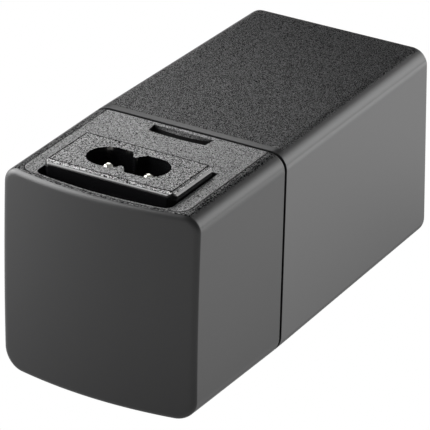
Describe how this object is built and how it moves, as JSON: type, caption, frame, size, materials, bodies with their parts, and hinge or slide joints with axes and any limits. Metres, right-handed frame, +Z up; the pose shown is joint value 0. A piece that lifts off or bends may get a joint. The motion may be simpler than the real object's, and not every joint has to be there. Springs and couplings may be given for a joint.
{
  "type": "ac power adapter",
  "caption": "Block-shaped mains adapter in dark grey plastic: rear sleeve, front cap, raised two-pole inlet on top, round output socket in the rear end.",
  "frame": {"origin": "middle of the bounding box's base, on the surface that the adapter stands on", "axes": "+X across the width, +Y from the crowned front face to the rear end, +Z up through the face with the mains inlet"},
  "size_m": [0.042, 0.0954, 0.0437],
  "materials": {
    "casing_plastic": "satin, fine grain along the top",
    "panel_plastic": "fine grain",
    "inlet_plastic": "coarse grain on top, smooth inside",
    "socket_plastic": "smooth",
    "nickel_plate": "bright",
    "lead_insulation": "smooth",
    "board_laminate": "solder resist",
    "screw_steel": "plated",
    "insulating_film": "smooth film",
    "fuse_glass": "clear",
    "blue_coating": "dipped",
    "green_coating": "dipped",
    "capacitor_case": "smooth",
    "capacitor_sleeve": "sleeved can",
    "ferrite": "sintered",
    "copper_wire": "enamelled",
    "black_epoxy": "moulded",
    "winding_tape": "taped",
    "sink_aluminium": "sawn"
  },
  "bodies": {
    "root": {"rear_sleeve": "casing_plastic", "front_cap": "casing_plastic", "inlet_panel": "panel_plastic", "inlet_body": "inlet_plastic", "inlet_pins": "nickel_plate", "inlet_leads": "lead_insulation", "tail_sleeves": "lead_insulation", "output_socket": "socket_plastic", "socket_pin": "nickel_plate", "socket_contact": "nickel_plate", "circuit_board": "board_laminate", "board_screws": "screw_steel", "insulating_sheet": "insulating_film", "fuse_tube": "fuse_glass", "fuse_caps": "nickel_plate", "varistor": "blue_coating", "thermistor": "green_coating", "x_capacitor": "capacitor_case", "choke_core": "ferrite", "choke_windings": "copper_wire", "choke_base": "black_epoxy", "bridge_rectifier": "black_epoxy", "bulk_capacitors": "capacitor_sleeve", "transformer_core": "ferrite", "transformer_bobbin": "black_epoxy", "transformer_winding": "winding_tape", "primary_heat_sink": "sink_aluminium", "switch_transistor": "black_epoxy", "controller_chip": "black_epoxy", "y_capacitor": "blue_coating", "optocoupler": "black_epoxy", "output_rectifier": "black_epoxy", "secondary_heat_sink": "sink_aluminium", "output_capacitors": "capacitor_sleeve", "output_choke": "ferrite", "heat_sink_screws": "screw_steel"}
  },
  "joints": []
}
